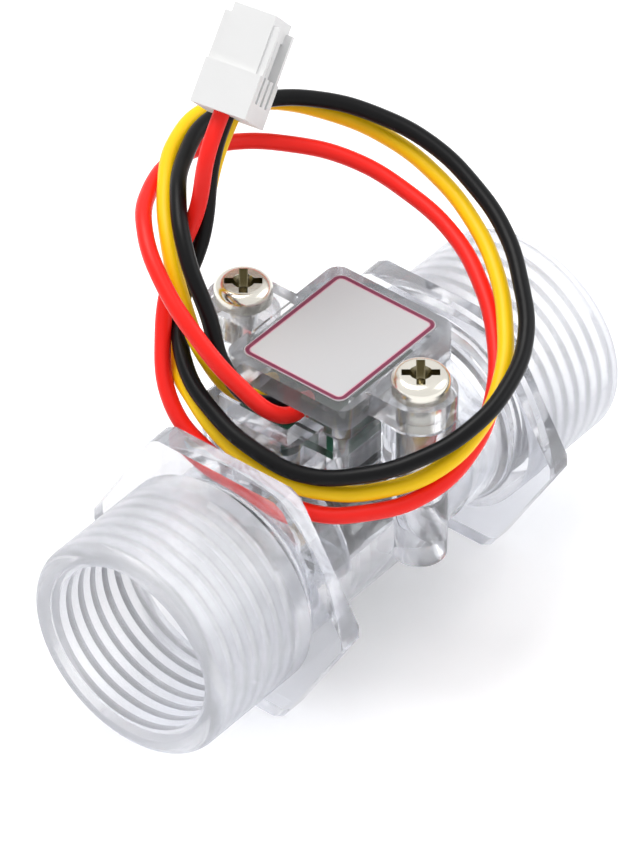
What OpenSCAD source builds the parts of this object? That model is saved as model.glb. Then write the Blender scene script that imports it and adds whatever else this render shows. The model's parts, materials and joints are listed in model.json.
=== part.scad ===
// Clear turbine flow sensor with two female G1/2 ports, a pulse sensor in a covered pocket and a three-wire lead.
// The tube lies along X, water enters at the -X mouth, and the origin is on the floor under the middle of the tube.

/* [Tube and ports] */
// Overall length of the moulded tube, from mouth to mouth
tube_len = 64; // [60:1:76]
// Outer diameter of the two threaded ends
port_od = 24; // [23:0.5:26]
// Length of each round end, from its mouth to the hexagon
port_len = 14; // [12:0.5:16]
// Inner diameter over the crests of the pipe thread
thread_minor_d = 18.631; // [18:0.001:19.2]
// Depth of each threaded bore
thread_depth = 13.5; // [11:0.5:16]
// Lead-in chamfer at each mouth
mouth_chamfer = 0.9; // [0.3:0.1:1.2]
// Rounding of the outer edge of each mouth
mouth_round = 1.1; // [0.4:0.1:1.3]

/* [Hexagons] */
// Width of the two wrench hexagons across their flats
hex_af = 28; // [27.2:0.2:31]
// Thickness of each hexagon
hex_t = 2.8; // [2:0.2:4]
// How far the six corners are turned down
hex_corner_turn = 0.4; // [0.1:0.1:0.8]

/* [Middle tube] */
// Outer diameter of the tube between the hexagons
mid_od = 20; // [19.4:0.2:22]
// Fillet where the middle tube meets each hexagon
mid_fillet = 1.2; // [0.5:0.1:2]
// Bore that the rotor turns in
chamber_d = 13.6; // [12.8:0.1:14.4]
// Wider bore that the inlet guide is pushed into
seat_d = 15.2; // [14.8:0.1:16.4]
// Narrower bore behind the outlet guide
waist_d = 11.4; // [10:0.2:12]

/* [Rotor] */
// Length of the rotor's hub
hub_len = 15; // [13:0.5:17]
// Diameter of the rotor's hub
hub_d = 6.8; // [6.4:0.2:7.4]
// Number of blades on the rotor
blade_count = 6; // [4:1:7]
// Axial length of the blades
blade_len = 12; // [8:0.5:12.5]
// Thickness of each blade
blade_t = 1.1; // [0.8:0.1:1.4]
// Turn of each blade from its inlet edge to its outlet edge, in degrees
blade_turn = 62; // [40:1:75]
// Gap between the blade tips and the chamber wall
tip_gap = 0.4; // [0.3:0.05:0.6]
// Length of the ring that ties the blade tips together at the inlet
tie_len = 1.7; // [1:0.1:2]
// Wall of the tie ring
tie_wall = 1; // [0.8:0.1:1.2]
// Diameter of the rotor's steel shaft
shaft_d = 2; // [1.6:0.1:2.2]
// Diameter of each magnet in the hub
magnet_d = 2; // [1.6:0.1:2.2]
// Depth of each magnet in the hub
magnet_len = 1.6; // [1:0.1:1.9]

/* [Guides and bushes] */
// Axial length of the two flow guides
guide_len = 4; // [3.4:0.1:5]
// Number of vanes in each guide
vane_count = 4; // [3:1:6]
// Thickness of each vane
vane_t = 1.1; // [0.8:0.1:1.6]
// Wall of the ring around the vanes
guide_wall = 1.2; // [0.8:0.1:1.4]
// Diameter of the guide's middle boss
guide_hub_d = 5.6; // [5:0.2:7]
// Outer diameter of the bearing bushes
bush_d = 3.4; // [3:0.1:4]
// Length of the bearing bushes
bush_len = 2.6; // [2:0.1:2.8]
// Thickness of the snap ring behind the inlet guide
ring_t = 0.9; // [0.7:0.1:1.2]
// Radial width of the snap ring
ring_w = 1.7; // [1.4:0.1:2.2]
// Depth of the groove for the snap ring
groove_depth = 0.45; // [0.3:0.05:0.6]

/* [Sensor pocket] */
// Length of the cover along the tube
cover_len = 17.8; // [17:0.1:19]
// Width of the cover across the tube
cover_w = 15.4; // [15:0.1:16.4]
// Distance of the cover's middle from the middle of the tube
cover_x = 1.35; // [0.8:0.05:1.6]
// Height of the cover's top face above the tube's axis
cover_h = 18.4; // [18:0.1:20]
// Thickness of the cover plate
cover_t = 2.5; // [1.8:0.1:2.8]
// Corner radius of the cover
cover_round = 1.5; // [0.6:0.1:2]
// Wall of the pocket
pocket_wall = 1.3; // [1:0.1:1.6]
// Wall left between the pocket's floor and the chamber
pocket_floor = 1.6; // [1.2:0.1:2]
// Step of the pocket's outer wall inside the rim that carries the cover
rim_step = 0.45; // [0.2:0.05:0.7]
// Height of the rim that carries the cover
rim_h = 1.2; // [0.8:0.1:1.6]
// How far the open wire bay reaches beyond the cover
bay_reach = 4.7; // [4.4:0.1:5.2]
// Wall at the end of the wire bay
bay_end_wall = 2; // [1.4:0.1:2.2]
// Wall at the front of the wire bay
bay_side_wall = 2.4; // [1.4:0.1:3]
// Distance of the bay's front face behind the front face of the cover
bay_set_back = 2.6; // [1.5:0.1:3.5]
// How far the bay's rim lies below the underside of the cover
bay_drop = 0.3; // [0.2:0.1:0.8]
// Depth of the cover's locating skirt in the pocket
skirt_h = 1; // [0.6:0.1:1.2]
// Thickness of the cover's locating skirt
skirt_t = 0.8; // [0.6:0.1:1.2]

/* [Screw posts] */
// Distance of each screw from the middle of the tube, across it
screw_y = 11.2; // [10.8:0.1:12]
// Diameter of the cover's ears
ear_d = 7.4; // [6.8:0.1:7.8]
// Thickness of the cover's ears
ear_t = 2.8; // [2:0.1:3]
// How far the top of the ears stands above the top of the cover
ear_rise = 0.3; // [0:0.1:0.6]
// Gap between each ear and its post
ear_gap = 0.3; // [0.2:0.05:0.5]
// Height of the wide head of each post
post_head_h = 5; // [3:0.2:6]
// Diameter of the posts below their heads
post_d = 5.6; // [5.4:0.1:6.4]
// How far the posts reach down below the tube's axis
post_drop = 2; // [1:0.5:6]
// Thickness of the web that ties each post to the pocket
post_web_t = 2.4; // [1.6:0.1:3]
// Diameter of the screw heads
screw_head_d = 5.9; // [5.4:0.1:6.4]
// Height of the screw heads
screw_head_h = 2.1; // [1.8:0.1:2.4]
// Rounding of the top edge of the screw heads
screw_head_round = 1; // [0.5:0.1:1.2]
// Diameter of the screw shanks
screw_d = 2.8; // [2.4:0.1:3]
// Length of the screw shanks
screw_len = 13; // [10:0.5:15]
// Width of the cross recess in the screw heads
recess_w = 0.9; // [0.7:0.05:1.1]
// Span of the cross recess in the screw heads
recess_span = 3.8; // [3.2:0.1:4]
// Depth of the cross recess in the screw heads
recess_depth = 1.2; // [0.8:0.1:1.4]

/* [Label] */
// Length of the label along the tube
label_len = 15.6; // [14:0.1:16.4]
// Width of the label across the tube
label_w = 12.7; // [12:0.1:13.6]
// Thickness of the label
label_t = 0.12; // [0.08:0.01:0.2]
// Corner radius of the label
label_round = 1; // [0.5:0.1:1.5]

/* [Circuit] */
// Thickness of the circuit board
board_t = 1; // [0.8:0.1:1.6]
// Height of the ledges that carry the board above the pocket's floor
board_lift = 3; // [2.6:0.1:3.4]
// Width of the ledges that carry the board
ledge_w = 1.1; // [0.6:0.1:1.6]
// Length of the Hall element
hall_len = 4.1; // [3.6:0.1:4.6]
// Width of the Hall element
hall_w = 3; // [2.6:0.1:3.4]
// Thickness of the Hall element
hall_t = 1.5; // [1.2:0.1:1.8]
// Pitch of the Hall element's legs
hall_pitch = 1.27; // [1:0.01:1.4]
// Pitch of the three soldered wires
pad_pitch = 2.2; // [2:0.1:2.4]
// Distance of the wire joints from the board's bay edge
pad_inset = 2; // [1.4:0.1:3]
// Length of the chip resistor
resistor_len = 3.2; // [2.4:0.1:3.4]
// Width of the chip resistor
resistor_w = 1.6; // [1.2:0.1:1.8]
// Length of the chip capacitor
capacitor_len = 2; // [1.6:0.1:3]
// Width of the chip capacitor
capacitor_w = 1.25; // [1:0.05:1.6]

/* [Lead] */
// Diameter of each wire over its insulation
wire_d = 1.7; // [1.3:0.1:1.7]
// Pitch of the plug's three ways
plug_pitch = 2.5; // [2.4:0.1:2.6]
// Width of the plug housing across its ways
plug_w = 9.8; // [9:0.1:10.4]
// Thickness of the plug housing
plug_t = 5.8; // [5:0.1:6.2]
// Length of the plug housing from its wire face to its front
plug_len = 10.6; // [9.6:0.1:12]
// Wall of the plug housing at its front end
plug_wall = 0.9; // [0.7:0.1:1.1]

/* [Hidden] */
$fn = 64;

// Clearances: fit is for pieces put together once, run is for the shaft in its bushes, cut runs a tool past a face.
fit = 0.08;
press = 0.01;
run = 0.05;
end_float = 0.3;
guide_gap = 0.2;
cut = 0.5;

// Tube
half_len = tube_len / 2;
axis_z = hex_af / 2;
hex_corner_r = hex_af / 2 / cos(30);
hex_x = half_len - port_len;
thread_r = thread_minor_d / 2;

// Bore, worked out from the rotor in the middle towards both mouths
bush_face = hub_len / 2 + end_float;
guide_face = bush_face + guide_gap;
guide_end = guide_face + guide_len;
ring_x = guide_end + fit;
thread_end = half_len - thread_depth;
shaft_len = 2 * (bush_face + bush_len - end_float);

// Heights of the pocket's stack
floor_z = axis_z + chamber_d / 2 + pocket_floor;
board_z = floor_z + board_lift;
board_top = board_z + board_t;
cover_top = axis_z + cover_h;
seat_z = cover_top - cover_t;
ear_top = cover_top + ear_rise;
post_top = ear_top - ear_t - ear_gap;
bay_top = seat_z - bay_drop;

// Outlines of the pocket in plan
pocket_x0 = cover_x - cover_len / 2;
pocket_x1 = cover_x + cover_len / 2;
cavity_x1 = pocket_x1 - rim_step - pocket_wall;
cavity_half_w = cover_w / 2 - rim_step - pocket_wall;
bay_x0 = pocket_x0 - bay_reach;
bay_y0 = -cover_w / 2 + bay_set_back;
bay_y1 = cover_w / 2 - rim_step;
trough_x0 = bay_x0 + bay_end_wall;
trough_y0 = bay_y0 + bay_side_wall;
board_x0 = pocket_x0 + rim_step;
board_x1 = cavity_x1 - fit;
board_half_w = cavity_half_w - fit;
pad_x = board_x0 + pad_inset;
pad_y = 1.3;

// Solder on a wire's pad and round a leg, and the Hall element's legs
pad_h = 0.5;
pad_d = 1.9;
pad_top_d = 1.2;
joint_h = 0.6;
joint_r = 0.58;
joint_top_r = 0.35;
hall_leg_r = 0.25;
hall_leg_x = hall_len / 2 + 1;

// Chips, set from the board's edges
chip_t = 0.55;
chip_x = board_x1 - 2.75;
chip_y = board_half_w - 3.3;

// Screws: the turn and the sunk middle of the cross recess, and the flat at the tip
recess_turn = 39;
recess_cone_r1 = 0.3;
recess_cone_r2 = 1.4;
screw_tip_d = 0.6;

// Snap ring: the width of its mouth
ring_mouth = 4;

// Plug: its step and tabs, the slots down its front, and the terminals in its ways
step_z = 4.6;
step_in = 0.7;
tab_in = 1.4;
tab_w = 1;
tab_short = 1;
slot_w = 1;
slot_z = plug_wall + 1;
slot_len = plug_len - 4;
terminal_w = 1.5;
terminal_z0 = 1.7;
terminal_len = 6.4;
socket_w = 0.8;
socket_z = 1.2;
way_lip = 0.2;

// Rotor
chamber_r = chamber_d / 2;
tip_r = chamber_r - tip_gap;
hub_r = hub_d / 2;
shaft_r = shaft_d / 2;
blade_root = 0.4;
blade_slices = 10;
magnet_sunk = 0.15;
wire_sides = 8;

// Routes of the three wires, from their solder pads to the plug
red_route = [
    [-4.6, -0.9, 27.8], [-8.6, -0.2, 29.2], [-11, 3, 33], [-12, 7, 37.2], [-11, 12, 40.5], [-8, 17, 43],
    [-3, 20.6, 43.3], [3, 22, 43], [9, 20.5, 42], [13.7, 16.3, 41], [16.8, 11, 39.8], [18, 5, 38],
    [17.6, -1.2, 36], [15.4, -6.5, 33.8], [12, -11, 31.2], [7.4, -14.4, 28.4], [1.8, -16, 25.8],
    [-4, -15.2, 24], [-9, -12, 23.2], [-12.8, -7.2, 23.3], [-14.1, -1.2, 25.1], [-14.2, 4, 25.9],
    [-13.9, 8.9, 29.2], [-10.6, 12.7, 34.2], [-6.6, 14.5, 39.2], [-3.5, 14.2, 44.2], [-1.8, 14, 50.8],
    [2.1, 14.8, 54.6]
];
yellow_route = [
    [-4.6, 3.5, 27.8], [-8.4, 4.6, 29.2], [-10, 8, 33.5], [-9.3, 11.3, 38.3], [-7, 14.8, 42],
    [-2.6, 18.9, 44.2], [3, 22.2, 45], [9, 22.8, 45.2], [14.5, 19.8, 44.2], [18.3, 15, 42.8],
    [20.6, 9.5, 41], [20.9, 3.5, 39], [19.5, -2.3, 36.9], [16.4, -7.7, 35.1], [12.7, -11.7, 33.2],
    [8, -15, 31], [2.8, -16.4, 28.6], [-2.7, -15.5, 26.4], [-7.2, -12.2, 25], [-10.9, -8.2, 25],
    [-13.4, -3.8, 26.3], [-13.6, 2.2, 27.7], [-12.9, 6.7, 30], [-9.6, 12.3, 31.4], [-5, 15.4, 35.2],
    [-1.2, 15.6, 40.7], [1.7, 15.8, 47.4], [5.4, 16.3, 51.1]
];
black_route = [
    [-4.6, 1.3, 27.8], [-8.5, 2.6, 29.3], [-10, 5.5, 33.3], [-9.2, 8, 37.8], [-7.9, 11.7, 42.4],
    [-4.1, 16, 45.2], [1.2, 19.5, 45.6], [7, 21, 46], [12.6, 19, 45.9], [17.2, 15.2, 45],
    [20.2, 10.2, 43.6], [21.5, 4.5, 42], [21, -1.2, 40], [19.2, -6.5, 38], [16, -11, 36],
    [11.8, -15, 33.6], [6.4, -17, 31.9], [0.8, -17, 30.3], [-4.3, -14.8, 28.6], [-8.7, -11, 27.3],
    [-12.4, -6.6, 27.4], [-13.9, -1.6, 28.9], [-13.7, 3.4, 30.5], [-11.9, 8.8, 32.9], [-6.9, 13.2, 36],
    [-3, 13.8, 41.4], [0.2, 15, 48.8], [3.7, 15.6, 52.9]
];

// Where the plug stands: the middle of its wire face, and its tilt, heading and roll in degrees
plug_at = [2.7, 15.4, 51.8];
plug_tilt = 45;
plug_heading = 10;
plug_roll = 11;

// Puts a shape that is drawn along Z on the tube's axis, pointing along +X.
module along_axis(x) {
    translate([x, 0, axis_z]) rotate([0, 90, 0]) children();
}

// Outline of a rectangle with round corners, standing on its middle.
module rounded(w, d, r) {
    square([w - 2 * r, d], center = true);
    square([w, d - 2 * r], center = true);
    for (sx = [-1, 1], sy = [-1, 1])
        translate([sx * (w / 2 - r), sy * (d / 2 - r)]) circle(r);
}

// One half of the moulded tube's outside, from the middle to the mouth, as an outline to be turned about the axis.
module half_profile() {
    square([mid_od / 2, hex_x]);
    translate([0, hex_x - cut]) square([port_od / 2, port_len - mouth_round + cut]);
    translate([0, half_len - mouth_round - cut]) square([port_od / 2 - mouth_round, mouth_round + cut]);
    translate([port_od / 2 - mouth_round, half_len - mouth_round]) circle(mouth_round);
    difference() {
        translate([0, hex_x - hex_t - mid_fillet]) square([mid_od / 2 + mid_fillet, mid_fillet + cut]);
        translate([mid_od / 2 + mid_fillet, hex_x - hex_t - mid_fillet]) circle(mid_fillet);
    }
}

// Half of the outside of the tube with its wrench hexagon, on the side that side names.
module tube_half(side) {
    rotate([0, 0, side > 0 ? 0 : 180]) along_axis(0) {
        rotate_extrude() half_profile();
        translate([0, 0, hex_x - hex_t]) intersection() {
            rotate(30) cylinder(h = hex_t, r = hex_corner_r, $fn = 6);
            cylinder(h = hex_t, r = hex_corner_r - hex_corner_turn);
        }
    }
}

// Threaded bore with its lead-in, cut from one mouth.
module port_bore(side) {
    rotate([0, 0, side > 0 ? 0 : 180]) {
        along_axis(thread_end) cylinder(h = thread_depth + cut, r = thread_r);
        along_axis(half_len - mouth_chamfer)
            cylinder(h = mouth_chamfer + cut, r1 = thread_r, r2 = thread_r + mouth_chamfer + cut);
    }
}

// Everything that is cut along the tube's axis between the two threaded bores.
module flow_way() {
    along_axis(-thread_end - cut) cylinder(h = thread_end - guide_face + cut, d = seat_d);
    along_axis(-guide_face - cut) cylinder(h = guide_face + guide_end + cut, r = chamber_r);
    along_axis(guide_end - cut) cylinder(h = thread_end - guide_end + 2 * cut, d = waist_d);
    along_axis(-ring_x - ring_t - fit) cylinder(h = ring_t + 2 * fit, d = seat_d + 2 * groove_depth);
}

// Outside of the pocket: walls, the rim that carries the cover, and the bay that the wires leave by.
module pocket_outside() {
    translate([cover_x, 0, axis_z]) {
        linear_extrude(seat_z - axis_z)
            rounded(cover_len - 2 * rim_step, cover_w - 2 * rim_step, cover_round - rim_step);
        translate([0, 0, seat_z - rim_h - axis_z]) linear_extrude(rim_h) rounded(cover_len, cover_w, cover_round);
    }
    translate([(bay_x0 + pocket_x0) / 2 + cover_round, (bay_y0 + bay_y1) / 2, axis_z])
        linear_extrude(bay_top - axis_z) rounded(bay_reach + 2 * cover_round, bay_y1 - bay_y0, cover_round);
}

// Inside of the pocket: the room under the cover, the ledges for the board and the trough for the wires.
module pocket_inside() {
    translate([board_x0, -cavity_half_w, board_z])
        cube([cavity_x1 - board_x0, 2 * cavity_half_w, seat_z - board_z + cut]);
    translate([board_x0, -cavity_half_w + ledge_w, floor_z])
        cube([cavity_x1 - board_x0, 2 * (cavity_half_w - ledge_w), board_lift + cut]);
    translate([trough_x0, trough_y0, board_z])
        cube([board_x0 - trough_x0 + cut, cavity_half_w - trough_y0, seat_z - board_z + cut]);
}

// Post for one cover screw, with the web that ties it to the tube and the pocket.
module screw_post(side) {
    translate([0, side * screw_y, 0]) {
        translate([0, 0, axis_z - post_drop]) cylinder(h = post_top - axis_z + post_drop, d = post_d);
        translate([0, 0, post_top - post_head_h]) cylinder(h = post_head_h, d = ear_d);
        translate([0, 0, post_top - post_head_h - (ear_d - post_d) / 2])
            cylinder(h = (ear_d - post_d) / 2, d1 = post_d, d2 = ear_d);
    }
    translate([-post_web_t / 2, side > 0 ? 0 : -screw_y, axis_z]) cube([post_web_t, screw_y, post_top - axis_z]);
}

module screw_hole(side, r, z0, z1) {
    translate([0, side * screw_y, z0]) cylinder(h = z1 - z0, r = r);
}

module body() {
    color([0.86, 0.9, 0.95, 0.4]) difference() {
        union() {
            tube_half(-1);
            tube_half(1);
            pocket_outside();
            for (side = [-1, 1]) screw_post(side);
        }
        port_bore(-1);
        port_bore(1);
        flow_way();
        pocket_inside();
        for (side = [-1, 1]) screw_hole(side, screw_d / 2 + press, ear_top - screw_len - cut, post_top + cut);
    }
}

// Cover: a plate with two lower ears for the screws and a skirt that finds the pocket.
module cover() {
    color([0.88, 0.91, 0.95, 0.5]) difference() {
        union() {
            translate([cover_x, 0, seat_z]) linear_extrude(cover_t) rounded(cover_len, cover_w, cover_round);
            for (side = [-1, 1]) {
                translate([0, side * screw_y, ear_top - ear_t]) cylinder(h = ear_t, d = ear_d);
                translate([-ear_d / 2, side > 0 ? cover_w / 2 - cut : -screw_y, ear_top - ear_t])
                    cube([ear_d, screw_y - cover_w / 2 + cut, ear_t]);
            }
            skirt();
        }
        for (side = [-1, 1]) screw_hole(side, screw_d / 2 + fit, seat_z - cut - ear_t, cover_top + cut);
    }
}

// Skirt along the three walled sides of the pocket, open towards the bay.
module skirt() {
    x0 = board_x0 + 2 * wire_d;
    half_w = cavity_half_w - fit;
    translate([x0, 0, seat_z - skirt_h]) difference() {
        translate([0, -half_w, 0]) cube([cavity_x1 - fit - x0, 2 * half_w, skirt_h + cut]);
        translate([-cut, -half_w + skirt_t, -cut])
            cube([cavity_x1 - fit - skirt_t - x0 + cut, 2 * (half_w - skirt_t), skirt_h + 2 * cut]);
    }
}

module label() {
    color([0.82, 0.82, 0.84])
        translate([cover_x, 0, cover_top]) linear_extrude(label_t) rounded(label_len, label_w, label_round);
}

module circuit_board() {
    color([0.1, 0.4, 0.2]) difference() {
        translate([board_x0, -board_half_w, board_z]) cube([board_x1 - board_x0, 2 * board_half_w, board_t]);
        for (k = [-1, 0, 1]) hall_leg(k, hall_leg_r + fit);
    }
}

module hall_leg(k, r) {
    translate([hall_leg_x, k * hall_pitch, floor_z + hall_t / 2]) cylinder(h = board_top - floor_z, r = r);
}

// Hall element lying on the pocket's floor above the rotor, its three legs bent up through the board.
module hall_sensor() {
    color([0.12, 0.12, 0.13]) {
        translate([-hall_len / 2, -hall_w / 2, floor_z]) cube([hall_len, hall_w, hall_t]);
        for (k = [-1, 0, 1]) {
            hall_leg(k, hall_leg_r);
            translate([hall_len / 2 - cut, k * hall_pitch, floor_z + hall_t / 2]) rotate([0, 90, 0])
                cylinder(h = hall_leg_x - hall_len / 2 + cut, r = hall_leg_r);
        }
    }
}

module chip(y, len, w) {
    translate([chip_x - w / 2, y - len / 2, board_top]) cube([w, len, chip_t]);
}

module resistor() {
    color([0.15, 0.15, 0.16]) chip(-chip_y, resistor_len, resistor_w);
}

module capacitor() {
    color([0.72, 0.6, 0.42]) chip(chip_y, capacitor_len, capacitor_w);
}

// Solder on the three wire pads and round the three legs of the Hall element.
module solder_joints() {
    color([0.75, 0.76, 0.78]) {
        for (k = [-1, 0, 1]) {
            translate([pad_x, pad_y + k * pad_pitch, board_top]) cylinder(h = pad_h, d1 = pad_d, d2 = pad_top_d);
            difference() {
                translate([hall_leg_x, k * hall_pitch, board_top])
                    cylinder(h = joint_h, r1 = joint_r, r2 = joint_top_r);
                hall_leg(k, hall_leg_r + press);
            }
        }
    }
}

// Pan-head screw with a cross recess.
module screw(side) {
    head_r = screw_head_d / 2;
    translate([0, side * screw_y, ear_top]) {
        difference() {
            rotate_extrude() {
                square([head_r - screw_head_round, screw_head_h]);
                square([head_r, screw_head_h - screw_head_round]);
                intersection() {
                    translate([head_r - screw_head_round, screw_head_h - screw_head_round])
                        circle(screw_head_round);
                    square([head_r, screw_head_h]);
                }
            }
            for (a = [0, 90]) rotate(recess_turn + a)
                translate([-recess_span / 2, -recess_w / 2, screw_head_h - recess_depth])
                    cube([recess_span, recess_w, screw_head_h]);
            translate([0, 0, screw_head_h - recess_depth - cut])
                cylinder(h = recess_depth + 2 * cut, r1 = recess_cone_r1, r2 = recess_cone_r2);
        }
        translate([0, 0, -screw_len + screw_d / 2]) cylinder(h = screw_len - screw_d / 2, d = screw_d);
        translate([0, 0, -screw_len]) cylinder(h = screw_d / 2, d1 = screw_tip_d, d2 = screw_d);
    }
}

module screw_front() {
    color([0.8, 0.78, 0.74]) screw(-1);
}

module screw_rear() {
    color([0.8, 0.78, 0.74]) screw(1);
}

// Flow guide with straight vanes, a nose that points away from the rotor and a blind seat for its bush.
module guide(outer_r) {
    nose_r = guide_hub_d / 2;
    difference() {
        cylinder(h = guide_len, r = outer_r);
        translate([0, 0, -cut]) cylinder(h = guide_len + 2 * cut, r = outer_r - guide_wall);
    }
    difference() {
        union() {
            cylinder(h = guide_len - cut, r = nose_r);
            translate([0, 0, guide_len - cut]) sphere(nose_r);
            for (k = [0 : vane_count - 1]) rotate(k * 360 / vane_count)
                translate([0, -vane_t / 2, 0]) cube([outer_r - guide_wall / 2, vane_t, guide_len]);
        }
        translate([0, 0, -cut]) cylinder(h = bush_len - guide_face + bush_face + fit + cut, d = bush_d + 2 * press);
        translate([0, 0, -nose_r - cut]) cylinder(h = nose_r + cut, r = nose_r + cut);
    }
}

module inlet_guide() {
    color([0.93, 0.94, 0.95]) along_axis(-guide_face - fit) rotate([180, 0, 0]) guide(seat_d / 2 - fit);
}

module outlet_guide() {
    color([0.93, 0.94, 0.95]) along_axis(guide_face) guide(chamber_r - fit);
}

// Snap ring that holds the inlet guide, open at the bottom.
module retaining_ring() {
    outer_r = seat_d / 2 + groove_depth - fit;
    color([0.78, 0.79, 0.8]) along_axis(-ring_x - ring_t) difference() {
        cylinder(h = ring_t, r = outer_r);
        translate([0, 0, -cut]) cylinder(h = ring_t + 2 * cut, r = outer_r - ring_w);
        translate([0, -ring_mouth / 2, -cut]) cube([outer_r + cut, ring_mouth, ring_t + 2 * cut]);
    }
}

module bush() {
    difference() {
        cylinder(h = bush_len, d = bush_d);
        translate([0, 0, -cut]) cylinder(h = bush_len + 2 * cut, r = shaft_r + run);
    }
}

module inlet_bush() {
    color([0.82, 0.62, 0.28]) along_axis(-bush_face) rotate([180, 0, 0]) bush();
}

module outlet_bush() {
    color([0.82, 0.62, 0.28]) along_axis(bush_face) bush();
}

module rotor_shaft() {
    color([0.75, 0.76, 0.78]) along_axis(-shaft_len / 2) cylinder(h = shaft_len, r = shaft_r);
}

// Where the two magnets sit: opposite each other, between the blades at the middle of the hub.
module magnet_places() {
    for (a = [0, 180]) rotate([0, 0, a + 180 / blade_count]) rotate([0, 90, 0]) children();
}

// Turbine rotor: a hub with helical blades, cut to the length of the blades.
module turbine_rotor() {
    color([0.2, 0.21, 0.23]) along_axis(0) difference() {
        union() {
            translate([0, 0, -hub_len / 2]) cylinder(h = hub_len, r = hub_r);
            for (k = [0 : blade_count - 1]) rotate(k * 360 / blade_count) blade();
            translate([0, 0, -blade_len / 2]) difference() {
                cylinder(h = tie_len, r = tip_r);
                translate([0, 0, -cut]) cylinder(h = tie_len + 2 * cut, r = tip_r - tie_wall);
            }
        }
        translate([0, 0, -hub_len / 2 - cut]) cylinder(h = hub_len + 2 * cut, r = shaft_r + press);
        magnet_places() translate([0, 0, hub_r - magnet_len - press]) cylinder(h = hub_r, d = magnet_d + 2 * press);
    }
}

// One blade, a thin plate twisted evenly about the axis.
module blade() {
    rotate(blade_turn / 2) translate([0, 0, -blade_len / 2])
        linear_extrude(height = blade_len, twist = blade_turn, slices = blade_slices)
            translate([hub_r - blade_root, -blade_t / 2]) square([tip_r - hub_r + blade_root, blade_t]);
}

module magnets() {
    color([0.45, 0.46, 0.48]) along_axis(0)
        magnet_places() translate([0, 0, hub_r - magnet_len]) cylinder(h = magnet_len - magnet_sunk, d = magnet_d);
}

// Tube of a wire, swept along its route with eight sides.
module wire(route) {
    sides = wire_sides;
    last = len(route) - 1;
    dirs = [for (i = [0 : last]) unit(route[min(i + 1, last)] - route[max(i - 1, 0)])];
    ups = frames(dirs);
    points = [
        for (i = [0 : last], k = [0 : sides - 1])
            route[i] + wire_d / 2 * (cos(k * 360 / sides) * ups[i] + sin(k * 360 / sides) * cross(dirs[i], ups[i]))
    ];
    walls = [
        for (i = [0 : last - 1], k = [0 : sides - 1])
            let (a = i * sides + k, b = i * sides + (k + 1) % sides)
                each [[a, b + sides, b], [a, a + sides, b + sides]]
    ];
    near_end = [for (k = [0 : sides - 1]) k];
    far_end = [for (k = [sides - 1 : -1 : 0]) last * sides + k];
    polyhedron(points, concat(walls, [near_end, far_end]));
}

function unit(v) = v / norm(v);

// A direction across the wire at every point, turned as little as possible from one point to the next.
function frames(dirs, i = 0, up = undef) =
    let (start = is_undef(up) ? unit(cross(dirs[0], [0, 1, 0])) : up,
         next = unit(start - (start * dirs[i]) * dirs[i]))
    i == len(dirs) - 1 ? [next] : concat([next], frames(dirs, i + 1, next));

module wire_red() {
    color([0.88, 0.1, 0.08]) wire(red_route);
}

module wire_yellow() {
    color([0.94, 0.74, 0.03]) wire(yellow_route);
}

module wire_black() {
    color([0.08, 0.08, 0.09]) wire(black_route);
}

// Stands a shape that is drawn on the plug's wire face where the plug is, its length along Z.
module on_plug() {
    translate(plug_at) rotate([0, plug_tilt, plug_heading]) rotate(plug_roll) children();
}

// Housing of the plug: three square ways, a narrower front, side tabs and a slot down the front face.
module plug_housing() {
    way_w = terminal_w + 2 * fit;
    color([0.93, 0.93, 0.91]) on_plug() difference() {
        union() {
            translate([-plug_w / 2, -plug_t / 2, 0]) cube([plug_w, plug_t, step_z]);
            translate([-plug_w / 2 + step_in, -plug_t / 2 + step_in, 0])
                cube([plug_w - 2 * step_in, plug_t - 2 * step_in, plug_len]);
            for (x = [-1, 1]) translate([x * (plug_w / 2 - tab_in) - tab_w / 2, -plug_t / 2, 0])
                cube([tab_w, plug_t, plug_len - tab_short]);
        }
        for (k = [-1, 0, 1]) translate([k * plug_pitch, 0, 0]) {
            translate([0, 0, -cut]) cylinder(h = terminal_z0 + 2 * cut, d = wire_d + 2 * fit);
            translate([-way_w / 2, -way_w / 2, terminal_z0 - fit]) cube([way_w, way_w, terminal_len + 2 * fit]);
            translate([0, 0, terminal_z0]) cylinder(h = plug_len, d = way_w - 2 * way_lip);
            translate([-slot_w / 2, -plug_t, slot_z]) cube([slot_w, plug_t / 2 + step_in + plug_wall, slot_len]);
        }
    }
}

// Crimped socket of one wire: a sprung box with a barrel that closes on the wire's end.
module terminal(k) {
    color([0.8, 0.79, 0.74]) on_plug() translate([k * plug_pitch, 0, terminal_z0]) difference() {
        translate([-terminal_w / 2, -terminal_w / 2, 0]) cube([terminal_w, terminal_w, terminal_len]);
        translate([-socket_w / 2, -socket_w / 2, socket_z]) cube([socket_w, socket_w, terminal_len]);
    }
}

module terminal_red() {
    terminal(-1);
}

module terminal_yellow() {
    terminal(1);
}

module terminal_black() {
    terminal(0);
}

body();
cover();
label();
circuit_board();
hall_sensor();
resistor();
capacitor();
solder_joints();
screw_front();
screw_rear();
inlet_guide();
outlet_guide();
retaining_ring();
inlet_bush();
outlet_bush();
rotor_shaft();
turbine_rotor();
magnets();
wire_red();
wire_yellow();
wire_black();
plug_housing();
terminal_red();
terminal_yellow();
terminal_black();
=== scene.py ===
import json
import math

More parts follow.
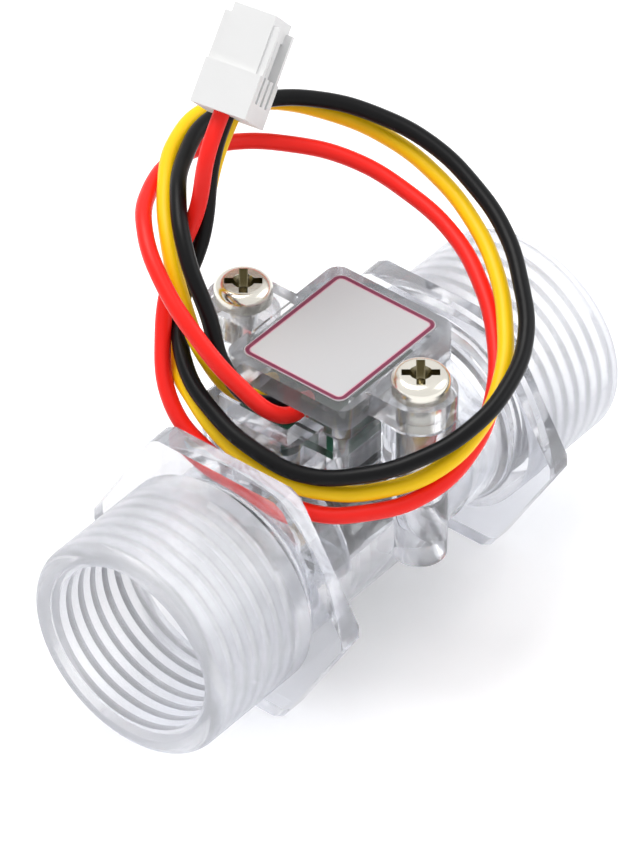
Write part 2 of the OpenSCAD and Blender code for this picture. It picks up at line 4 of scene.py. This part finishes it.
import bpy
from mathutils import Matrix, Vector

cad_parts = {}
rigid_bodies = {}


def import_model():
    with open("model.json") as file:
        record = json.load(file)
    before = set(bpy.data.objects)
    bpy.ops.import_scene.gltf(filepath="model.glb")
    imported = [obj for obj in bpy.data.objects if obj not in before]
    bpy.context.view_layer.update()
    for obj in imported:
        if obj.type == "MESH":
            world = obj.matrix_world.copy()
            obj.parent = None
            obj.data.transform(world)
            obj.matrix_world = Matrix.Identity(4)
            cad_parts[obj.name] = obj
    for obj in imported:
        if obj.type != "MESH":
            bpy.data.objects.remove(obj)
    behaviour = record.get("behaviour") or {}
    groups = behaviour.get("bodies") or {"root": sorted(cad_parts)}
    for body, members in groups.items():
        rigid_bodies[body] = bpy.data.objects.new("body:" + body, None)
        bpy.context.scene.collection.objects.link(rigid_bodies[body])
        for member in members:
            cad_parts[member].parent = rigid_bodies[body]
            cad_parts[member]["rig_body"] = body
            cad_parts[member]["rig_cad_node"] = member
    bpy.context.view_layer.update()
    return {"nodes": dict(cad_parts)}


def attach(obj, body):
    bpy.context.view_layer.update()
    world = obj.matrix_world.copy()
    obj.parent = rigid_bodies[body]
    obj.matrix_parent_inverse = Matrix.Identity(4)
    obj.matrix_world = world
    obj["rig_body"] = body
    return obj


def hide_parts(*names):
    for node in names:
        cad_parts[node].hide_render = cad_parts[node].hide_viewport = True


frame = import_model()
nodes = frame["nodes"]
print("frame loaded")

# Camera at the photograph's angle.
view = {
    "azimuth": -51.06,
    "elevation": 40.76,
    "distance": 0.859,
    "target": Vector((-0.00048, 0, 0.014)),
    "lens": 368.5,
    "shiftX": -0.010,
    "shiftY": 0.081,
    "nearest": 0.05,
    "farthest": 20,
}
azimuth = math.radians(view["azimuth"])
elevation = math.radians(view["elevation"])
back = Vector((
    math.sin(azimuth) * math.cos(elevation),
    -math.cos(azimuth) * math.cos(elevation),
    math.sin(elevation),
))
bpy.ops.object.camera_add(location=view["target"] + back * view["distance"])
camera = bpy.context.object
camera.name = "photoCamera"
camera.rotation_euler = back.to_track_quat("Z", "Y").to_euler()
camera.data.lens = view["lens"]
camera.data.shift_x = view["shiftX"]
camera.data.shift_y = view["shiftY"]
camera.data.clip_start = view["nearest"]
camera.data.clip_end = view["farthest"]
bpy.context.scene.camera = camera
print("camera placed")


# Adds a node and fills its inputs: a socket is linked, any other value is set.
def add(tree, kind, inputs=None, **settings):
    made = tree.nodes.new(kind)
    for key, value in settings.items():
        setattr(made, key, value)
    for key, value in (inputs or {}).items():
        if isinstance(value, bpy.types.NodeSocket):
            tree.links.new(value, made.inputs[key])
        else:
            made.inputs[key].default_value = value
    return made


# One step of arithmetic on sockets and numbers.
def maths(tree, operation, *values):
    return add(tree, "ShaderNodeMath", dict(enumerate(values)), operation=operation).outputs[0]


# The first colour where the factor is 0, the second where it is 1.
def blend(tree, factor, first, second):
    return add(tree, "ShaderNodeMix", {0: factor, 6: first, 7: second}, data_type="RGBA").outputs[2]


# A colour made brighter or darker by a factor.
def scaled(tree, colour, factor):
    return add(tree, "ShaderNodeVectorMath", {0: colour, "Scale": factor}, operation="SCALE").outputs[0]


# Starts a node group with the given numbers as inputs.
def startGroup(name, inputs, outputs):
    tree = bpy.data.node_groups.new(name, "ShaderNodeTree")
    for socket, value in inputs.items():
        made = tree.interface.new_socket(name=socket, in_out="INPUT", socket_type="NodeSocketFloat")
        made.default_value = value
    for socket, kind in outputs.items():
        tree.interface.new_socket(name=socket, in_out="OUTPUT", socket_type="NodeSocket" + kind)
    return tree, tree.nodes.new("NodeGroupInput"), tree.nodes.new("NodeGroupOutput")


# Fine moulded or drawn surface: a slow change of tone, a change of gloss and a small bump.
grain = {"slowScale": 170.0, "slowDetail": 3.0, "fineDetail": 4.0, "bumpDepth": 0.0001}


def makeSurfaceGroup():
    tree, given, result = startGroup(
        "fineSurface",
        {"Scale": 900.0, "Tone": 0.06, "Gloss": 0.08, "Bump": 0.1},
        {"Tone": "Float", "Gloss": "Float", "Normal": "Vector"},
    )
    place = add(tree, "ShaderNodeTexCoord").outputs["Object"]
    slow = add(
        tree,
        "ShaderNodeTexNoise",
        {"Vector": place, "Scale": grain["slowScale"], "Detail": grain["slowDetail"]},
    ).outputs["Fac"]
    fine = add(
        tree,
        "ShaderNodeTexNoise",
        {"Vector": place, "Scale": given.outputs["Scale"], "Detail": grain["fineDetail"]},
    ).outputs["Fac"]
    tone = maths(tree, "MULTIPLY_ADD", maths(tree, "SUBTRACT", slow, 0.5), given.outputs["Tone"], 1.0)
    gloss = maths(tree, "MULTIPLY", maths(tree, "SUBTRACT", fine, 0.5), given.outputs["Gloss"])
    bump = add(
        tree,
        "ShaderNodeBump",
        {"Strength": given.outputs["Bump"], "Distance": grain["bumpDepth"], "Height": fine},
    )
    tree.links.new(tone, result.inputs["Tone"])
    tree.links.new(gloss, result.inputs["Gloss"])
    tree.links.new(bump.outputs["Normal"], result.inputs["Normal"])
    return tree


# Distance to the edge of a rectangle with round corners, seen from above; below zero inside it.
def makeRoundedGroup():
    tree, given, result = startGroup(
        "roundedEdge",
        {"MiddleX": 0.0, "HalfX": 0.01, "HalfY": 0.01, "Round": 0.001},
        {"Distance": "Float"},
    )
    place = add(tree, "ShaderNodeTexCoord").outputs["Object"]
    axes = add(tree, "ShaderNodeSeparateXYZ", {"Vector": place})
    cornerRound = given.outputs["Round"]
    shifted = maths(tree, "SUBTRACT", axes.outputs["X"], given.outputs["MiddleX"])
    reach = []
    for value, half in ((shifted, "HalfX"), (axes.outputs["Y"], "HalfY")):
        inner = maths(tree, "SUBTRACT", given.outputs[half], cornerRound)
        reach.append(maths(tree, "SUBTRACT", maths(tree, "ABSOLUTE", value), inner))
    squares = [maths(tree, "POWER", maths(tree, "MAXIMUM", value, 0.0), 2.0) for value in reach]
    outside = maths(tree, "SQRT", maths(tree, "ADD", *squares))
    inside = maths(tree, "MINIMUM", maths(tree, "MAXIMUM", *reach), 0.0)
    edge = maths(tree, "SUBTRACT", maths(tree, "ADD", outside, inside), cornerRound)
    tree.links.new(edge, result.inputs["Distance"])
    return tree


surfaceGroup = makeSurfaceGroup()
roundedGroup = makeRoundedGroup()


# Starts a material with a principled shader and the bump of its fine surface.
def startMaterial(name, scale, bump, tone=0.0, gloss=0.0):
    material = bpy.data.materials.new(name)
    material.use_nodes = True
    tree = material.node_tree
    shader = tree.nodes["Principled BSDF"]
    surface = add(
        tree,
        "ShaderNodeGroup",
        {"Scale": scale, "Tone": tone, "Gloss": gloss, "Bump": bump},
        node_tree=surfaceGroup,
    )
    tree.links.new(surface.outputs["Normal"], shader.inputs["Normal"])
    return material, tree, shader, surface


# Joins a base colour and a roughness, both varied by the fine surface.
def joinFinish(tree, shader, surface, colour, roughness):
    if not isinstance(colour, bpy.types.NodeSocket):
        colour = add(tree, "ShaderNodeCombineColor", dict(enumerate(colour))).outputs[0]
    rough = maths(tree, "ADD", surface.outputs["Gloss"], roughness)
    tree.links.new(scaled(tree, colour, surface.outputs["Tone"]), shader.inputs["Base Color"])
    tree.links.new(rough, shader.inputs["Roughness"])


def makePlastic(name, colour, roughness, scale=900.0, tone=0.08, gloss=0.1, bump=0.12, specular=0.5):
    material, tree, shader, surface = startMaterial(name, scale, bump, tone, gloss)
    joinFinish(tree, shader, surface, colour, roughness)
    shader.inputs["Specular IOR Level"].default_value = specular
    return material


def makeMetal(name, colour, roughness, scale=1500.0, tone=0.1, gloss=0.12, bump=0.08):
    material, tree, shader, surface = startMaterial(name, scale, bump, tone, gloss)
    joinFinish(tree, shader, surface, colour, roughness)
    shader.inputs["Metallic"].default_value = 1.0
    return material


def setSurface(tree, output):
    tree.links.new(output, tree.nodes["Material Output"].inputs["Surface"])


# Clear plastic: glass with its own pale tint, and painted shade that makes the tint darker and more lavender
# where the surface turns away.
# A little is seen straight through, and most of the lamps' light goes straight through too.
clear = {
    "bend": 1.47,
    "specular": 0.32,
    "edgeShadeBlend": 0.35,
    "scale": 260.0,
    "straight": 0.12,
    "shadowPass": 0.8,
    "passColour": (0.9, 0.905, 0.92, 1),
}


def makeClear(name, face, edge, roughness, bump, milk, shadeGroup=None):
    material, tree, shader, surface = startMaterial(name, clear["scale"], bump)
    # Painted edge shade: the face colour turns to the darker edge colour as the surface turns away.
    turned = add(tree, "ShaderNodeLayerWeight", {"Blend": clear["edgeShadeBlend"]})
    colour = blend(tree, turned.outputs["Facing"], face, edge)
    # Painted shade: the tint is darkened down in the thread grooves.
    if shadeGroup:
        shade = add(tree, "ShaderNodeGroup", {"Amount": thread["shadeAmount"]}, node_tree=shadeGroup)
        colour = scaled(tree, colour, maths(tree, "SUBTRACT", 1.0, shade.outputs["Shade"]))
    tree.links.new(colour, shader.inputs["Base Color"])
    shader.inputs["IOR"].default_value = clear["bend"]
    shader.inputs["Specular IOR Level"].default_value = clear["specular"]
    shader.inputs["Roughness"].default_value = roughness
    shader.inputs["Transmission Weight"].default_value = 1 - milk
    rays = add(tree, "ShaderNodeLightPath")
    lit = maths(tree, "MULTIPLY", rays.outputs["Is Shadow Ray"], clear["shadowPass"])
    straight = maths(tree, "MAXIMUM", lit, clear["straight"])
    passing = add(tree, "ShaderNodeBsdfTransparent", {"Color": clear["passColour"]})
    both = add(tree, "ShaderNodeMixShader", {0: straight, 1: shader.outputs[0], 2: passing.outputs[0]})
    setSurface(tree, both.outputs[0])
    return material


print("node groups ready")


def dress(name, material):
    node = nodes[name]
    node.data.materials.clear()
    node.data.materials.append(material)


# Wires: the routes that the solids take, from each solder pad to the plug.
wires = {"diameter": 0.0017, "stepsPerPoint": 8, "roundSteps": 4}
redWire = {
    "length": 0.165,
    "insulation": {"colour": (0.93, 0.017, 0.011), "roughness": 0.4, "specular": 0.25},
    "carries": ["terminal_red"],
    "points": [
        (-0.0046, -0.0009, 0.0278), (-0.0086, -0.0002, 0.0292), (-0.011, 0.003, 0.033),
        (-0.012, 0.007, 0.0372), (-0.011, 0.012, 0.0405), (-0.008, 0.017, 0.043),
        (-0.003, 0.0206, 0.0433), (0.003, 0.022, 0.043), (0.009, 0.0205, 0.042),
        (0.0137, 0.0163, 0.041), (0.0168, 0.011, 0.0398), (0.018, 0.005, 0.038),
        (0.0176, -0.0012, 0.036), (0.0154, -0.0065, 0.0338), (0.012, -0.011, 0.0312),
        (0.0074, -0.0144, 0.0284), (0.0018, -0.016, 0.0258), (-0.004, -0.0152, 0.024),
        (-0.009, -0.012, 0.0232), (-0.0128, -0.0072, 0.0233), (-0.0141, -0.0012, 0.0251),
        (-0.0142, 0.004, 0.0259), (-0.0139, 0.0089, 0.0292), (-0.0106, 0.0127, 0.0342),
        (-0.0066, 0.0145, 0.0392), (-0.0035, 0.0142, 0.0442), (-0.0018, 0.014, 0.0508),
        (0.0021, 0.0148, 0.0546),
    ],
}
yellowWire = {
    "length": 0.163,
    "insulation": {"colour": (0.97, 0.6, 0.003), "roughness": 0.4, "specular": 0.25},
    "carries": ["terminal_yellow"],
    "points": [
        (-0.0046, 0.0035, 0.0278), (-0.0084, 0.0046, 0.0292), (-0.01, 0.008, 0.0335),
        (-0.0093, 0.0113, 0.0383), (-0.007, 0.0148, 0.042), (-0.0026, 0.0189, 0.0442),
        (0.003, 0.0222, 0.045), (0.009, 0.0228, 0.0452), (0.0145, 0.0198, 0.0442),
        (0.0183, 0.015, 0.0428), (0.0206, 0.0095, 0.041), (0.0209, 0.0035, 0.039),
        (0.0195, -0.0023, 0.0369), (0.0164, -0.0077, 0.0351), (0.0127, -0.0117, 0.0332),
        (0.008, -0.015, 0.031), (0.0028, -0.0164, 0.0286), (-0.0027, -0.0155, 0.0264),
        (-0.0072, -0.0122, 0.025), (-0.0109, -0.0082, 0.025), (-0.0134, -0.0038, 0.0263),
        (-0.0136, 0.0022, 0.0277), (-0.0129, 0.0067, 0.03), (-0.0096, 0.0123, 0.0314),
        (-0.005, 0.0154, 0.0352), (-0.0012, 0.0156, 0.0407), (0.0017, 0.0158, 0.0474),
        (0.0054, 0.0163, 0.0511),
    ],
}
blackWire = {
    "length": 0.162,
    "insulation": {"colour": (0.003, 0.003, 0.0035), "roughness": 0.38, "specular": 0.16},
    "carries": ["terminal_black", "plug_housing"],
    "points": [
        (-0.0046, 0.0013, 0.0278), (-0.0085, 0.0026, 0.0293), (-0.01, 0.0055, 0.0333),
        (-0.0092, 0.008, 0.0378), (-0.0079, 0.0117, 0.0424), (-0.0041, 0.016, 0.0452),
        (0.0012, 0.0195, 0.0456), (0.007, 0.021, 0.046), (0.0126, 0.019, 0.0459),
        (0.0172, 0.0152, 0.045), (0.0202, 0.0102, 0.0436), (0.0215, 0.0045, 0.042),
        (0.021, -0.0012, 0.04), (0.0192, -0.0065, 0.038), (0.016, -0.011, 0.036),
        (0.0118, -0.015, 0.0336), (0.0064, -0.017, 0.0319), (0.0008, -0.017, 0.0303),
        (-0.0043, -0.0148, 0.0286), (-0.0087, -0.011, 0.0273), (-0.0124, -0.0066, 0.0274),
        (-0.0139, -0.0016, 0.0289), (-0.0137, 0.0034, 0.0305), (-0.0119, 0.0088, 0.0329),
        (-0.0069, 0.0132, 0.036), (-0.003, 0.0138, 0.0414), (0.0002, 0.015, 0.0488),
        (0.0037, 0.0156, 0.0529),
    ],
}


def layWire(colour, settings):
    bpy.ops.curve.primitive_bezier_curve_add()
    wire = bpy.context.object
    wire.name = colour + "Wire"
    points = settings["points"]
    spline = wire.data.splines[0]
    spline.bezier_points.add(len(points) - 2)
    for point, place in zip(spline.bezier_points, points):
        point.co = place
        point.handle_left_type = "AUTO"
        point.handle_right_type = "AUTO"
    wire.data.resolution_u = wires["stepsPerPoint"]
    wire.data.bevel_depth = wires["diameter"] / 2
    wire.data.bevel_resolution = wires["roundSteps"]
    wire.data.use_fill_caps = True
    wire.data.materials.append(makePlastic(colour + "Insulation", **settings["insulation"]))
    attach(wire, "housing")
    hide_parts("wire_" + colour)


layWire("red", redWire)
layWire("yellow", yellowWire)
layWire("black", blackWire)
print("wires laid")

# Pipe threads of the body: a helical groove in both bores, painted shade down in the grooves, and the duller,
# milkier look of its ends.
thread = {
    "pitch": 0.001814,
    "rootRadius": 0.0101,
    "innerRadius": 0.0092,
    "rootHalf": 0.00008,
    "innerHalf": 0.00046,
    "start": 0.0336,
    "turns": 8,
    "stepsPerTurn": 64,
    "axisHeight": 0.014,
    "shadeFrom": 0.00935,
    "shadeTo": 0.0098,
    "shadeLimit": 0.0106,
    "shadeInner": 0.0182,
    "shadeOuter": 0.0309,
    "shadeAmount": 0.42,
    "dullFrom": 0.0193,
}


# Painted shade of the thread: a mask that is strongest down in the grooves of the two bores.
def makeThreadShadeGroup():
    tree, given, result = startGroup("threadShade", {"Amount": 0.5}, {"Shade": "Float"})
    place = add(tree, "ShaderNodeTexCoord").outputs["Object"]
    axes = add(tree, "ShaderNodeSeparateXYZ", {"Vector": place})
    lifted = maths(tree, "SUBTRACT", axes.outputs["Z"], thread["axisHeight"])
    across = add(tree, "ShaderNodeCombineXYZ", {"Y": axes.outputs["Y"], "Z": lifted})
    out = add(tree, "ShaderNodeVectorMath", {0: across.outputs[0]}, operation="LENGTH").outputs["Value"]
    along = maths(tree, "ABSOLUTE", axes.outputs["X"])
    deepShade = add(
        tree,
        "ShaderNodeMapRange",
        {"Value": out, "From Min": thread["shadeFrom"], "From Max": thread["shadeTo"]},
        interpolation_type="SMOOTHSTEP",
    )
    tests = [
        ("LESS_THAN", out, thread["shadeLimit"]),
        ("GREATER_THAN", along, thread["shadeInner"]),
        ("LESS_THAN", along, thread["shadeOuter"]),
    ]
    shade = maths(tree, "MULTIPLY", deepShade.outputs[0], given.outputs["Amount"])
    for test in tests:
        shade = maths(tree, "MULTIPLY", maths(tree, *test), shade)
    tree.links.new(shade, result.inputs["Shade"])
    return tree


# Grooving tool along one bore: a flat-rooted V profile, wound inwards from beyond the mouth.
def makeGrooveTool(turned):
    bpy.ops.object.select_all(action="DESELECT")
    bpy.ops.mesh.primitive_plane_add()
    tool = bpy.context.object
    corners = [
        (thread["start"] - thread["innerHalf"], thread["innerRadius"]),
        (thread["start"] - thread["rootHalf"], thread["rootRadius"]),
        (thread["start"] + thread["innerHalf"], thread["innerRadius"]),
        (thread["start"] + thread["rootHalf"], thread["rootRadius"]),
    ]
    for vertex, (along, out) in zip(tool.data.vertices, corners):
        vertex.co = (along, 0, out)
    bpy.ops.object.mode_set(mode="EDIT")
    bpy.ops.mesh.select_all(action="SELECT")
    bpy.ops.mesh.delete(type="ONLY_FACE")
    bpy.ops.object.mode_set(mode="OBJECT")
    winding = tool.modifiers.new("winding", "SCREW")
    winding.axis = "X"
    winding.screw_offset = -thread["pitch"]
    winding.iterations = thread["turns"]
    winding.steps = thread["stepsPerTurn"]
    winding.render_steps = thread["stepsPerTurn"]
    winding.use_merge_vertices = False
    bpy.ops.object.modifier_apply(modifier="winding")
    bpy.ops.object.mode_set(mode="EDIT")
    bpy.ops.mesh.select_all(action="DESELECT")
    bpy.ops.mesh.select_non_manifold(
        extend=False, use_wire=False, use_multi_face=False, use_non_contiguous=False
    )
    bpy.ops.mesh.fill_holes(sides=4)
    bpy.ops.mesh.select_all(action="SELECT")
    bpy.ops.mesh.normals_make_consistent(inside=False)
    bpy.ops.object.mode_set(mode="OBJECT")
    if turned:
        tool.rotation_euler = (0, 0, math.pi)
    tool.location = (0, 0, thread["axisHeight"])
    bpy.ops.object.transform_apply(location=True, rotation=True, scale=False)
    return tool


# Body: a copy of the moulded body with its doubles merged, grooved from both ends.
body = {
    # The moulding's own tint, then the darker painted edge shade where its surface turns away.
    "tintAndEdgeShade": [(0.93, 0.935, 0.95, 1), (0.68, 0.70, 0.78, 1)],
    "bump": 0.04,
    "roughness": 0.05,
    "milk": 0.016,
    "endRoughness": 0.26,
    "endMilk": 0.2,
    "merge": 0.000001,
    "sharpAngle": 32,
}
bpy.ops.object.select_all(action="DESELECT")
nodes["body"].select_set(True)
bpy.context.view_layer.objects.active = nodes["body"]
bpy.ops.object.duplicate()
clearBody = bpy.context.object
clearBody.name = "clearBody"
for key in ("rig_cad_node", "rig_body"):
    if key in clearBody:
        del clearBody[key]
bpy.ops.object.parent_clear(type="CLEAR_KEEP_TRANSFORM")
bpy.ops.object.mode_set(mode="EDIT")
bpy.ops.mesh.select_all(action="SELECT")
bpy.ops.mesh.customdata_custom_splitnormals_clear()
bpy.ops.mesh.remove_doubles(threshold=body["merge"])
bpy.ops.mesh.normals_make_consistent(inside=False)
bpy.ops.object.mode_set(mode="OBJECT")
for turned in (False, True):
    tool = makeGrooveTool(turned)
    cutting = clearBody.modifiers.new("groove", "BOOLEAN")
    cutting.object = tool
    cutting.operation = "DIFFERENCE"
    cutting.solver = "EXACT"
    bpy.ops.object.select_all(action="DESELECT")
    clearBody.select_set(True)
    bpy.context.view_layer.objects.active = clearBody
    bpy.ops.object.modifier_apply(modifier="groove")
    bpy.data.objects.remove(tool)
    print("groove cut", len(clearBody.data.vertices))
bpy.ops.object.shade_smooth_by_angle(angle=math.radians(body["sharpAngle"]))
threadShade = makeThreadShadeGroup()
clearMoulding = makeClear("clearMoulding", *body["tintAndEdgeShade"], body["roughness"], body["bump"], body["milk"])
threadedEnds = makeClear(
    "threadedEnds", *body["tintAndEdgeShade"], body["endRoughness"], body["bump"], body["endMilk"], threadShade
)
clearBody.data.materials.clear()
clearBody.data.materials.append(clearMoulding)
clearBody.data.materials.append(threadedEnds)
for face in clearBody.data.polygons:
    face.material_index = int(abs(face.center.x) > thread["dullFrom"])
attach(clearBody, "housing")
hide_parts("body")
print("threaded body made")

# Cover: its own tint as the face colour, and a darker painted edge shade as the edge colour.
cover = {
    "face": (0.94, 0.945, 0.95, 1),
    "edge": (0.72, 0.74, 0.78, 1),
    "roughness": 0.05,
    "bump": 0.04,
    "milk": 0.08,
}
dress("cover", makeClear("clearCover", **cover))

# Label: light grey film with a thin dark red line round it and a pale margin.
label = {
    "middleX": 0.00135,
    "halfX": 0.00772,
    "halfY": 0.00627,
    "round": 0.001,
    "line": 0.00042,
    "glow": 0.00012,
    "surface": {"scale": 1400.0, "tone": 0.03, "gloss": 0.06, "bump": 0.06},
    "roughness": 0.42,
    "film": (0.7, 0.704, 0.715, 1),
    "glowColour": (0.75, 0.4, 0.48, 1),
    "lineColour": (0.24, 0.018, 0.075, 1),
    "margin": (0.68, 0.62, 0.65, 1),
    "through": 0.3,
    "throughColour": (0.9, 0.9, 0.9, 1),
}


def makeLabelFilm():
    material, tree, shader, surface = startMaterial("labelFilm", **label["surface"])
    shape = {
        "MiddleX": label["middleX"],
        "HalfX": label["halfX"],
        "HalfY": label["halfY"],
        "Round": label["round"],
    }
    edge = add(tree, "ShaderNodeGroup", shape, node_tree=roundedGroup).outputs["Distance"]
    bands = [
        (-label["line"] - label["glow"], label["glowColour"]),
        (-label["line"], label["lineColour"]),
        (0.0, label["margin"]),
    ]
    colour = label["film"]
    for start, bandColour in bands:
        colour = blend(tree, maths(tree, "GREATER_THAN", edge, start), colour, bandColour)
    joinFinish(tree, shader, surface, colour, label["roughness"])
    through = add(tree, "ShaderNodeBsdfTranslucent", {"Color": label["throughColour"]})
    both = add(
        tree, "ShaderNodeMixShader", {0: label["through"], 1: shader.outputs[0], 2: through.outputs[0]}
    )
    setSurface(tree, both.outputs[0])
    return material


dress("label", makeLabelFilm())
print("clear pieces and label dressed")

# Screws: bright plating, with painted shade down in the cross recess.
screw = {
    "y": 0.0112,
    "seat": 0.0327,
    "headHeight": 0.0021,
    "recessReach": 0.00193,
    "recessSkin": 0.00004,
    "surface": {"scale": 1800.0, "tone": 0.15, "gloss": 0.1, "bump": 0.1},
    "roughness": 0.22,
    "bright": (0.76, 0.73, 0.66, 1),
    "deepShade": (0.30, 0.27, 0.18, 1),
}


def makeScrewPlating(name, side):
    material, tree, shader, surface = startMaterial(name, **screw["surface"])
    place = add(tree, "ShaderNodeTexCoord").outputs["Object"]
    axes = add(tree, "ShaderNodeSeparateXYZ", {"Vector": place})
    flat = add(tree, "ShaderNodeCombineXYZ", {"X": axes.outputs["X"], "Y": axes.outputs["Y"]})
    middle = (0, side * screw["y"], 0)
    away = add(tree, "ShaderNodeVectorMath", {0: flat.outputs[0], 1: middle}, operation="DISTANCE")
    tests = [
        ("LESS_THAN", away.outputs["Value"], screw["recessReach"]),
        ("LESS_THAN", axes.outputs["Z"], screw["seat"] + screw["headHeight"] - screw["recessSkin"]),
        ("GREATER_THAN", axes.outputs["Z"], screw["seat"] + screw["recessSkin"]),
    ]
    # Painted shade: the darker colour fills the cross recess of the head.
    recessShade = 1.0
    for test in tests:
        recessShade = maths(tree, "MULTIPLY", maths(tree, *test), recessShade)
    joinFinish(tree, shader, surface, blend(tree, recessShade, screw["bright"], screw["deepShade"]), screw["roughness"])
    shader.inputs["Metallic"].default_value = 1.0
    return material


dress("screw_front", makeScrewPlating("frontScrewPlating", -1))
dress("screw_rear", makeScrewPlating("rearScrewPlating", 1))

# Flow guides: a clear moulding like the body's, a little duller, with the same painted edge shade.
guide = {
    "face": (0.93, 0.94, 0.95, 1),
    "edge": (0.70, 0.72, 0.8, 1),
    "roughness": 0.1,
    "bump": 0.05,
    "milk": 0.08,
}
guideMoulding = makeClear("guideMoulding", **guide)
for name in ("inlet_guide", "outlet_guide"):
    dress(name, guideMoulding)

# Finishes of the other pieces, each with the pieces that have it.
metals = {
    "groundSteel": (["rotor_shaft", "retaining_ring"], {"colour": (0.62, 0.63, 0.65), "roughness": 0.28}),
    "tinnedContact": (
        ["terminal_red", "terminal_yellow", "terminal_black"],
        {"colour": (0.70, 0.68, 0.62), "roughness": 0.3},
    ),
    "brightSolder": (["solder_joints"], {"colour": (0.66, 0.67, 0.69), "roughness": 0.3}),
    "turnedBrass": (["inlet_bush", "outlet_bush"], {"colour": (0.62, 0.42, 0.16), "roughness": 0.3}),
    "magnetPlating": (["magnets"], {"colour": (0.4, 0.4, 0.42), "roughness": 0.35}),
}
plastics = {
    "rotorMoulding": (["turbine_rotor"], {"colour": (0.018, 0.02, 0.024), "roughness": 0.4}),
    "solderMask": (["circuit_board"], {"colour": (0.014, 0.08, 0.045), "roughness": 0.35, "bump": 0.2}),
    "chipMoulding": (
        ["hall_sensor", "resistor"],
        {"colour": (0.02, 0.02, 0.022), "roughness": 0.55, "bump": 0.3},
    ),
    "chipCeramic": (["capacitor"], {"colour": (0.42, 0.29, 0.16), "roughness": 0.5}),
    "plugNylon": (
        ["plug_housing"],
        {"colour": (0.74, 0.74, 0.735), "roughness": 0.5, "bump": 0.15, "specular": 0.3},
    ),
}
for make, finishes in ((makeMetal, metals), (makePlastic, plastics)):
    for name, (pieces, finish) in finishes.items():
        material = make(name, **finish)
        for piece in pieces:
            dress(piece, material)
print("metals and plastics dressed")


# 1 for the rays that show a thing to the camera, also in metal and through glass; 0 for its light.
def findSeen(tree):
    rays = add(tree, "ShaderNodeLightPath")
    seen = rays.outputs["Is Camera Ray"]
    for kind in ("Is Glossy Ray", "Is Transmission Ray"):
        seen = maths(tree, "MAXIMUM", seen, rays.outputs[kind])
    return seen


# Pale floor, a little brighter where it is seen; it gives the object no more light for that.
paleFloor = {"size": 6, "colour": (0.92, 0.92, 0.925), "roughness": 0.9, "lift": 0.13}
bpy.ops.mesh.primitive_plane_add(size=paleFloor["size"])
floor = bpy.context.object
floor.name = "paleFloor"
paper = makePlastic("floorPaper", paleFloor["colour"], paleFloor["roughness"], tone=0.0, bump=0.0)
paperTree = paper.node_tree
paperShader = paperTree.nodes["Principled BSDF"]
lift = maths(paperTree, "MULTIPLY", findSeen(paperTree), paleFloor["lift"])
paperShader.inputs["Emission Color"].default_value = (1, 1, 1, 1)
paperTree.links.new(lift, paperShader.inputs["Emission Strength"])
floor.data.materials.append(paper)

# Studio light from two soft boxes, turned to the middle of the object.
aim = Vector((0, 0, 0.02))
lamps = {
    "keySoftbox": {"place": (-0.05, 0.26, 0.84), "size": 0.5, "energy": 5.2, "colour": (1, 0.99, 0.97)},
    "fillSoftbox": {"place": (0.5, -0.5, 0.5), "size": 0.6, "energy": 2.1, "colour": (0.96, 0.98, 1)},
}
for name, settings in lamps.items():
    bpy.ops.object.light_add(type="AREA", location=settings["place"])
    lamp = bpy.context.object
    lamp.name = name
    lamp.data.size = settings["size"]
    lamp.data.energy = settings["energy"]
    lamp.data.color = settings["colour"]
    lamp.rotation_euler = (Vector(settings["place"]) - aim).to_track_quat("Z", "Y").to_euler()

# Surroundings: white where they are seen, and a soft grey room, lighter above, for the object's light.
room = {
    "low": (0.48, 0.485, 0.505, 1),
    "high": (0.7, 0.705, 0.72, 1),
    "lowEnd": 0.0,
    "highEnd": 0.75,
    "white": (1, 1, 1, 1),
}
world = bpy.data.worlds.new("studio")
bpy.context.scene.world = world
world.use_nodes = True
worldTree = world.node_tree
direction = add(worldTree, "ShaderNodeTexCoord").outputs["Generated"]
rise = add(worldTree, "ShaderNodeSeparateXYZ", {"Vector": direction}).outputs["Z"]
upward = add(
    worldTree,
    "ShaderNodeMapRange",
    {"Value": rise, "From Min": room["lowEnd"], "From Max": room["highEnd"]},
    interpolation_type="SMOOTHSTEP",
)
grey = worldTree.nodes["Background"]
greyColour = blend(worldTree, upward.outputs[0], room["low"], room["high"])
worldTree.links.new(greyColour, grey.inputs["Color"])
white = add(worldTree, "ShaderNodeBackground", {"Color": room["white"], "Strength": 1.0})
mixed = add(
    worldTree, "ShaderNodeMixShader", {0: findSeen(worldTree), 1: grey.outputs[0], 2: white.outputs[0]}
)
worldTree.links.new(mixed.outputs[0], worldTree.nodes["World Output"].inputs["Surface"])
bpy.context.scene.view_settings.view_transform = "Standard"
print("studio set")
